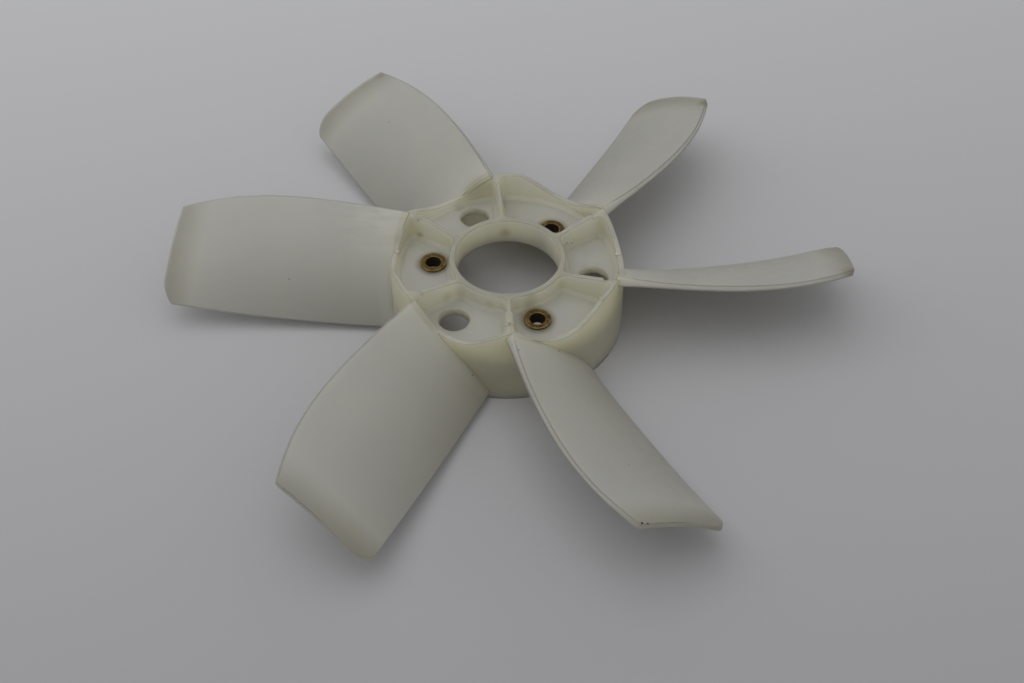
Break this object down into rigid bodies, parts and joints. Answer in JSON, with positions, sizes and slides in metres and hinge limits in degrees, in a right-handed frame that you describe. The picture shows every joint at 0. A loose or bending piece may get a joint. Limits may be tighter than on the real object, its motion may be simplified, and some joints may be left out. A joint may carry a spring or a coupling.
{
  "type": "axial fan impeller",
  "caption": "Moulded axial cooling-fan impeller: cambered blades in close pairs round a ribbed, open-fronted hub, with a central bore and flanged metal bushes for its bolts.",
  "frame": {"origin": "on the fan's axis, in the rear face of the web that seats on the driving flange", "axes": "+Z along the axis, out of the open front; azimuths run counter-clockwise from +X seen from the front"},
  "size_m": [0.3752, 0.342, 0.0488],
  "materials": {
    "natural_nylon": "milky translucent moulded nylon, yellowed and faintly stained",
    "bush_brass": "dull turned brass, darkened with age"
  },
  "bodies": {
    "root": {"fan_moulding": "natural_nylon", "mounting_bush_1": "bush_brass", "mounting_bush_2": "bush_brass", "mounting_bush_3": "bush_brass"}
  },
  "joints": []
}
